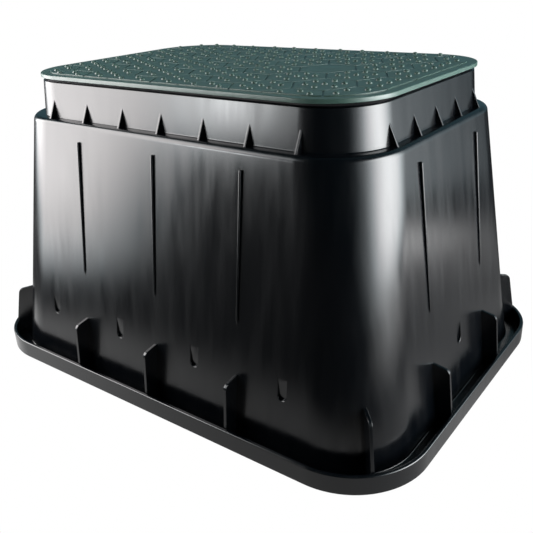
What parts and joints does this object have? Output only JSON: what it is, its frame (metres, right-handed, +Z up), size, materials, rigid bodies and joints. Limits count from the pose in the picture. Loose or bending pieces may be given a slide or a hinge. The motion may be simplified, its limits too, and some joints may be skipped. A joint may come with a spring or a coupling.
{
  "type": "irrigation valve box",
  "caption": "Rectangular in-ground irrigation valve box: a ribbed black body that widens towards a flanged, open foot, closed by a green studded drop-in lid.",
  "frame": {"origin": "centre of the open foot, on the ground plane that the foot flange rests on", "axes": "+Z up towards the lid, +X along the long side, +Y across it"},
  "size_m": [0.524, 0.392, 0.307],
  "materials": {
    "black_plastic": "glossy moulded",
    "green_plastic": "semi-gloss moulded"
  },
  "bodies": {
    "root": {"box_body": "black_plastic", "lid": "green_plastic"}
  },
  "joints": []
}
